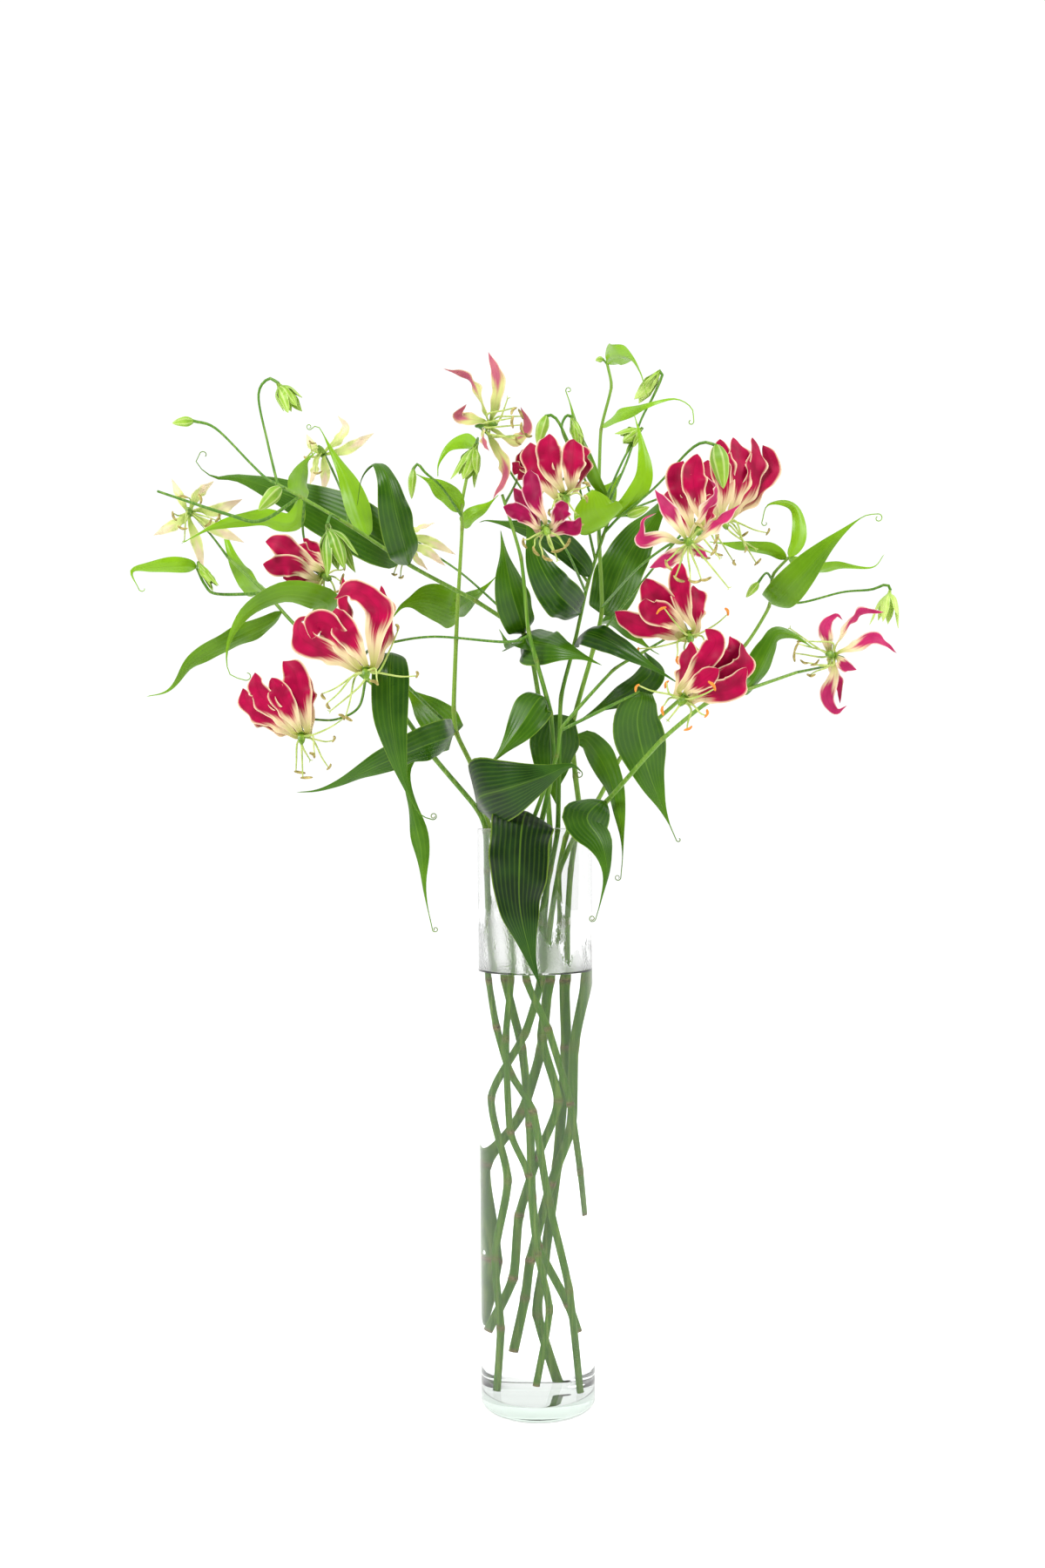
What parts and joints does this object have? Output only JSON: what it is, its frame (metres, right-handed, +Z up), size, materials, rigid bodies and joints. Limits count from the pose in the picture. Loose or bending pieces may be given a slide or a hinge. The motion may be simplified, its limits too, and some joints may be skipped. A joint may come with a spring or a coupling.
{
  "type": "flame lily stems in vase",
  "caption": "Cut flame lily stems with swept-back red and pink blooms, tendril-tipped leaves and buds, standing in water in a tall clear glass cylinder vase.",
  "frame": {"origin": "centre of the vase's underside, on the surface it stands on", "axes": "+Z up along the vase's axis; the pictured front faces -Y, so +X is to the right in the picture"},
  "size_m": [0.6737, 0.282, 0.9314],
  "materials": {
    "clear_glass": "clear, polished, plain",
    "water": "clear, smooth",
    "stem_and_leaf": "green leaf, soft sheen",
    "tepal_red": "crimson petal with cream edge and foot",
    "tepal_magenta": "magenta petal with cream edge and foot",
    "tepal_pink": "dusky pink petal with cream edge and green foot",
    "tepal_pale": "cream and yellow-green petal",
    "flower_heart": "yellow-green ovary, filaments and anthers"
  },
  "bodies": {
    "root": {"vase": "clear_glass", "water": "water", "stem_far_left": "stem_and_leaf", "stem_left_low": "stem_and_leaf", "stem_left_tall": "stem_and_leaf", "stem_red_left": "stem_and_leaf", "stem_crown": "stem_and_leaf", "stem_tall_right": "stem_and_leaf", "stem_mid_right": "stem_and_leaf", "stem_far_right": "stem_and_leaf", "stem_right_low": "stem_and_leaf", "tepals_crown_pink": "tepal_pink", "heart_crown_pink": "flower_heart", "tepals_red_upper": "tepal_red", "heart_red_upper": "flower_heart", "tepals_red_behind": "tepal_red", "heart_red_behind": "flower_heart", "tepals_magenta_low": "tepal_magenta", "heart_magenta_low": "flower_heart", "tepals_red_top_right": "tepal_red", "heart_red_top_right": "flower_heart", "tepals_red_star_behind": "tepal_red", "heart_red_star_behind": "flower_heart", "tepals_pink_star": "tepal_pink", "heart_pink_star": "flower_heart", "tepals_red_mid_right": "tepal_red", "heart_red_mid_right": "flower_heart", "tepals_red_low_right": "tepal_red", "heart_red_low_right": "flower_heart", "tepals_pink_far_right": "tepal_pink", "heart_pink_far_right": "flower_heart", "tepals_red_left": "tepal_red", "heart_red_left": "flower_heart", "tepals_red_left_low": "tepal_red", "heart_red_left_low": "flower_heart", "tepals_red_left_small": "tepal_red", "heart_red_left_small": "flower_heart", "tepals_pale_far_left": "tepal_pale", "heart_pale_far_left": "flower_heart", "tepals_pale_behind": "tepal_pale", "heart_pale_behind": "flower_heart", "tepals_pale_half_hidden": "tepal_pale", "heart_pale_half_hidden": "flower_heart"}
  },
  "joints": []
}
